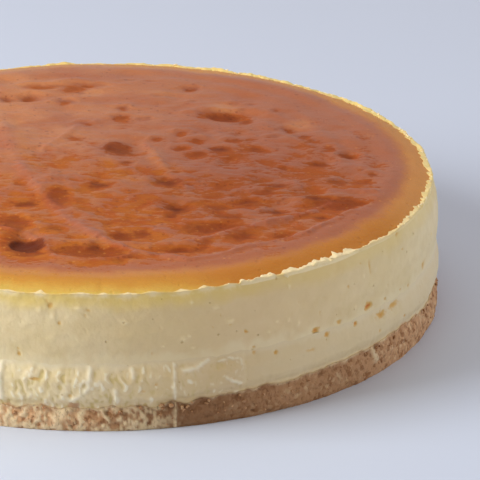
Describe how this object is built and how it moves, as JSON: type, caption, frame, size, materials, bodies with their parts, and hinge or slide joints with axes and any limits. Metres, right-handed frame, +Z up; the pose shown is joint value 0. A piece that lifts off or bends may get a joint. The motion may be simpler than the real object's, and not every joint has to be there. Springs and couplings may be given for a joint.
{
  "type": "lemon cheesecake",
  "caption": "Whole round baked lemon cheesecake: pressed crumb base, thin lower filling and deep creamy upper filling with a browned, blistered top and a ragged lip.",
  "frame": {"origin": "middle of the flat foot", "axes": "+Z up through the browned top, -Y towards the front that the picture shows, +X to its right"},
  "size_m": [0.2547, 0.2547, 0.0563],
  "materials": {
    "crumb": "coarse pressed biscuit crumb, dry and granular",
    "lower_cream": "pale cream filling, slightly rough, with fine upright creases",
    "upper_cream": "smooth cream filling whose top is browned, blistered and glossy, turning golden towards the lip"
  },
  "bodies": {
    "root": {"crumb_base": "crumb", "lower_filling": "lower_cream", "upper_filling": "upper_cream"}
  },
  "joints": []
}
